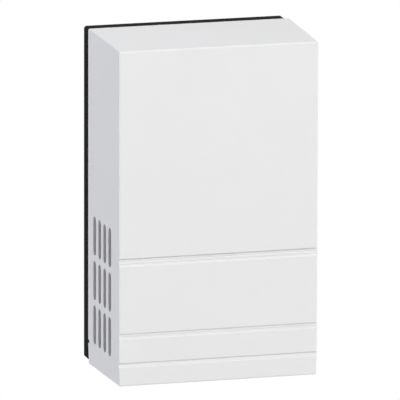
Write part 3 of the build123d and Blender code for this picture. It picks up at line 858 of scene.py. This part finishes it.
class CHIME_OT_windings(bpy.types.Operator):
    """Wind the coils and wrap their tape"""

    bl_idname = "chime.windings"
    bl_label = "Windings"

    def execute(self, context):
        colours = context.scene.chime_colours
        wire = context.scene.chime_sizes.coil_wire
        copper = metal(
            "copper_wire", colours.copper, roughness=0.24, stretch=(1.0, 0.08, 0.08), scale=2600.0, stain=0.25
        )
        tape = plastic(
            "coil_tape", colours.tape, roughness=0.30, grain_size=900.0, mottle=0.10, grain_depth=0.01 * MM
        )
        for door in ("front", "rear"):
            node = f"{door}_winding"
            low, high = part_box(node)
            centre = centre_of(node)
            outer = (high.z - low.z) / 2
            layer = outer - 2 * wire - COIL_GAP
            profile = [(low.x, COIL_BORE), (low.x, layer), (high.x, layer), (high.x, COIL_BORE)]
            body = mesh_piece(f"{door}_coil_core", *lathe_x(profile, centre, CORE_STEPS), copper)
            helix = coil_line(low, high, centre, layer + wire * WIRE_LIFT, wire)
            turns = mesh_piece(f"{door}_coil_turns", *tube(helix, wire, COIL_WIRE_SIDES), copper)
            wrap = tape_ring(low, high, centre, layer + wire * TAPE_LIFT, outer - TAPE_GAP)
            band = mesh_piece(f"{door}_coil_tape", *wrap, tape)
            for piece in (body, turns, band):
                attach(piece, "base")
            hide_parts(node)
        return {"FINISHED"}


class CHIME_OT_springs(bpy.types.Operator):
    """Coil the return springs, with closed ends"""

    bl_idname = "chime.springs"
    bl_label = "Return springs"

    def execute(self, context):
        colours = context.scene.chime_colours
        wire = context.scene.chime_sizes.wire_radius
        steel = metal(
            "spring_wire",
            colours.spring_steel,
            roughness=0.22,
            stretch=(1.0, 0.3, 0.3),
            scale=3000.0,
            stain=0.12,
        )
        for door in ("front", "rear"):
            node = f"{door}_return_spring"
            low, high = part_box(node)
            centre = centre_of(f"{door}_plunger")
            radius = (high.z - low.z) / 2 - wire
            helix = spring_line(low.x + wire, high.x - wire, centre, radius, wire)
            piece = mesh_piece(f"{door}_spring_wire", *tube(helix, wire, SPRING_WIRE_SIDES), steel)
            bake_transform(piece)
            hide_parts(node)
        return {"FINISHED"}


class CHIME_OT_felt(bpy.types.Operator):
    """Cut the felt stop pad"""

    bl_idname = "chime.felt"
    bl_label = "Felt pad"

    def execute(self, context):
        low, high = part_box("rear_stop_pad")
        wool = felt_material(context.scene.chime_colours.felt)
        shape = bmesh.new()
        bmesh.ops.create_cube(shape, size=1.0)
        bmesh.ops.scale(shape, vec=high - low, verts=shape.verts)
        bmesh.ops.translate(shape, vec=(high + low) / 2, verts=shape.verts)
        bmesh.ops.bevel(
            shape,
            geom=shape.edges[:],
            offset=FELT_EDGE,
            segments=FELT_EDGE_STEPS,
            profile=FELT_EDGE_PROFILE,
            affect="EDGES",
        )
        bmesh.ops.subdivide_edges(shape, edges=shape.edges[:], cuts=FELT_CUTS, use_grid_fill=True)
        chance = random.Random(FELT_SEED)
        for vertex in shape.verts:
            pulled = vertex.co + Vector([chance.uniform(-1, 1) for _ in range(3)]) * FELT_FUZZ * MM
            vertex.co = [min(max(pulled[i], low[i]), high[i]) for i in range(3)]
        pad = finished_mesh("felt_pad", shape, wool)
        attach(pad, "base")
        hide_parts("rear_stop_pad")
        return {"FINISHED"}


class CHIME_OT_terminals(bpy.types.Operator):
    """Finish the terminal plates, washers and screws"""

    bl_idname = "chime.terminals"
    bl_label = "Terminals"

    def execute(self, context):
        colours = context.scene.chime_colours
        brass = metal(
            "terminal_brass", colours.brass, roughness=0.30, stretch=(1.0, 1.0, 0.3), scale=1000.0, stain=0.28
        )
        for door in ("front", "transformer", "rear"):
            dress(f"{door}_terminal", brass)
        for node in ("terminal_washers", "terminal_screws"):
            dress(node, brass)
        return {"FINISHED"}


class CHIME_OT_leads(bpy.types.Operator):
    """Lay the insulated leads, bare their ends and solder them to the tags"""

    bl_idname = "chime.leads"
    bl_label = "Leads"

    def execute(self, context):
        colours = context.scene.chime_colours
        sizes = context.scene.chime_sizes
        sleeves = {
            tone: plastic(
                f"{tone}_insulation",
                getattr(colours, tone),
                roughness=0.36,
                grain_size=1200.0,
                mottle=0.08,
                grain_depth=0.008 * MM,
            )
            for tone in ("red", "blue", "white")
        }
        tinned = metal(
            "solder",
            colours.solder,
            roughness=0.26,
            stretch=(1.0, 1.0, 1.0),
            scale=700.0,
            stain=0.20,
            streak_depth=0.02 * MM,
        )
        for node, (finish, route) in LEAD_ROUTES.items():
            points = [Vector((x, -depth, z)) * MM for x, depth, z in route]
            tag = points[-1]
            back = (points[-2] - tag).normalized()
            cut = tag + back * sizes.stripped
            lead = smooth_wire(f"{node}_sleeve", [*points[:-1], cut], sizes.lead_radius, sleeves[finish])
            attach(lead, "base")
            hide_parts(node)
            strand = [cut + back * CONDUCTOR_RUN_IN, tag]
            bare = smooth_wire(f"{node}_conductor", strand, sizes.conductor_radius, tinned)
            blob = solder_blob(f"{node}_solder", tag, sizes.solder_radius, tinned)
            for piece in (bare, blob):
                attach(piece, "base")
        return {"FINISHED"}


class CHIME_OT_stage(bpy.types.Operator):
    """Set the floor, the light and the camera"""

    bl_idname = "chime.stage"
    bl_label = "Studio"

    def execute(self, context):
        scene = context.scene
        studio = scene.chime_studio
        make_floor(studio)
        make_light(scene, studio)
        make_camera(scene, studio)
        return {"FINISHED"}


def make_floor(studio):
    """A wide pale floor under the box, which shows nothing from below."""
    material, tree, shader = new_material("floor_paper")
    shader.inputs["Roughness"].default_value = 0.95
    shader.inputs["Specular IOR Level"].default_value = 0.1
    cloud = noise(tree, place_coordinates(tree), scale=3.0)
    tone = spread(tree, cloud, *NOISE_RANGE, studio.floor_tone - FLOOR_MOTTLE, studio.floor_tone)
    link(tree, tone, shader.inputs["Base Color"])
    bright = tree.nodes.new("ShaderNodeEmission")
    bright.inputs["Color"].default_value = WHITE
    clear = tree.nodes.new("ShaderNodeBsdfTransparent")
    seen = tree.nodes.new("ShaderNodeMixShader")
    link(tree, tree.nodes.new("ShaderNodeLightPath").outputs["Is Camera Ray"], seen.inputs["Fac"])
    link(tree, shader.outputs[0], seen.inputs[1])
    link(tree, bright.outputs[0], seen.inputs[2])
    sided = tree.nodes.new("ShaderNodeMixShader")
    link(tree, tree.nodes.new("ShaderNodeNewGeometry").outputs["Backfacing"], sided.inputs["Fac"])
    link(tree, seen.outputs[0], sided.inputs[1])
    link(tree, clear.outputs[0], sided.inputs[2])
    link(tree, sided.outputs[0], tree.nodes["Material Output"].inputs["Surface"])
    level = CAD_BOX[0].z - studio.floor_drop
    corners = [(x * FLOOR_HALF, y * FLOOR_HALF, level) for x, y in ((-1, -1), (1, -1), (1, 1), (-1, 1))]
    mesh_piece("floor", corners, [(0, 1, 2, 3)], material)


def make_light(scene, studio):
    """Pale walls, dim on the left, a soft key light in front and above, and a fill on the left."""
    world = bpy.data.worlds.new("soft_studio")
    world.use_nodes = True
    scene.world = world
    tree = world.node_tree
    lit = tree.nodes["Background"]
    way = tree.nodes.new("ShaderNodeSeparateXYZ")
    link(tree, tree.nodes.new("ShaderNodeTexCoord").outputs["Generated"], way.inputs[0])
    strength = spread(tree, way.outputs["Z"], 0.0, CEILING_FULL, studio.wall_light, studio.ceiling_light)
    link(tree, strength, lit.inputs["Strength"])
    leftness = spread(tree, way.outputs["X"], DIM_FULL, DIM_STARTS, 1.0, 0.0)
    link(tree, mix_colour(tree, leftness, WHITE, DIM_SIDE), lit.inputs["Color"])
    seen = tree.nodes.new("ShaderNodeBackground")
    seen.inputs["Color"].default_value = WHITE
    choice = tree.nodes.new("ShaderNodeMixShader")
    link(tree, tree.nodes.new("ShaderNodeLightPath").outputs["Is Camera Ray"], choice.inputs["Fac"])
    link(tree, lit.outputs[0], choice.inputs[1])
    link(tree, seen.outputs[0], choice.inputs[2])
    link(tree, choice.outputs[0], tree.nodes["World Output"].inputs["Surface"])
    scene.view_settings.view_transform = "Standard"
    for name, (place, across, tint) in LIGHTS.items():
        lamp = bpy.data.lights.new(name, "AREA")
        lamp.shape = "DISK"
        lamp.size = across
        lamp.energy = getattr(studio, name)
        lamp.color = tint
        light = bpy.data.objects.new(name, lamp)
        scene.collection.objects.link(light)
        light.location = place
        light.rotation_euler = (-light.location).to_track_quat("-Z", "Y").to_euler()


def make_camera(scene, studio):
    """The camera, at the photograph's angle."""
    lens = bpy.data.cameras.new("camera")
    lens.lens = studio.lens
    lens.sensor_width = SENSOR_WIDTH
    lens.clip_start = NEAR_LIMIT
    lens.clip_end = FAR_LIMIT
    camera = bpy.data.objects.new("camera", lens)
    scene.collection.objects.link(camera)
    turn, down = studio.azimuth, studio.elevation
    forward = Vector((math.sin(turn) * math.cos(down), math.cos(turn) * math.cos(down), -math.sin(down)))
    right = Vector((math.cos(turn), -math.sin(turn), 0.0))
    up = right.cross(forward)
    rim = Vector((0.0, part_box("cover")[1].y, 0.0))
    camera.location = rim - studio.aim_right * right - studio.aim_up * up - studio.distance * forward
    facing = Matrix((right, up, -forward)).transposed().to_4x4()
    camera.rotation_euler = (facing @ Matrix.Rotation(studio.roll, 4, "Z")).to_euler()
    scene.camera = camera


PIECES = (
    CHIME_OT_cover,
    CHIME_OT_base,
    CHIME_OT_bars,
    CHIME_OT_solenoids,
    CHIME_OT_strikers,
    CHIME_OT_windings,
    CHIME_OT_springs,
    CHIME_OT_felt,
    CHIME_OT_terminals,
    CHIME_OT_leads,
    CHIME_OT_stage,
)


class CHIME_PT_panel(bpy.types.Panel):
    """The chime's pieces in the sidebar"""

    bl_label = "Door chime"
    bl_idname = "CHIME_PT_panel"
    bl_space_type = "VIEW_3D"
    bl_region_type = "UI"
    bl_category = "Chime"

    def draw(self, context):
        for piece in PIECES:
            self.layout.operator(piece.bl_idname)


CLASSES = (ChimeColours, ChimeSizes, ChimeStudio, *PIECES, CHIME_PT_panel)


def register():
    """Makes the settings, the operators and the panel known."""
    for item in CLASSES:
        bpy.utils.register_class(item)
    bpy.types.Scene.chime_colours = bpy.props.PointerProperty(type=ChimeColours)
    bpy.types.Scene.chime_sizes = bpy.props.PointerProperty(type=ChimeSizes)
    bpy.types.Scene.chime_studio = bpy.props.PointerProperty(type=ChimeStudio)


def unregister():
    """Takes them away again."""
    del bpy.types.Scene.chime_studio
    del bpy.types.Scene.chime_sizes
    del bpy.types.Scene.chime_colours
    for item in reversed(CLASSES):
        bpy.utils.unregister_class(item)


def main():
    """Builds every piece."""
    register()
    for piece in PIECES:
        group, name = piece.bl_idname.split(".")
        getattr(getattr(bpy.ops, group), name)()


if __name__ == "__main__":
    main()
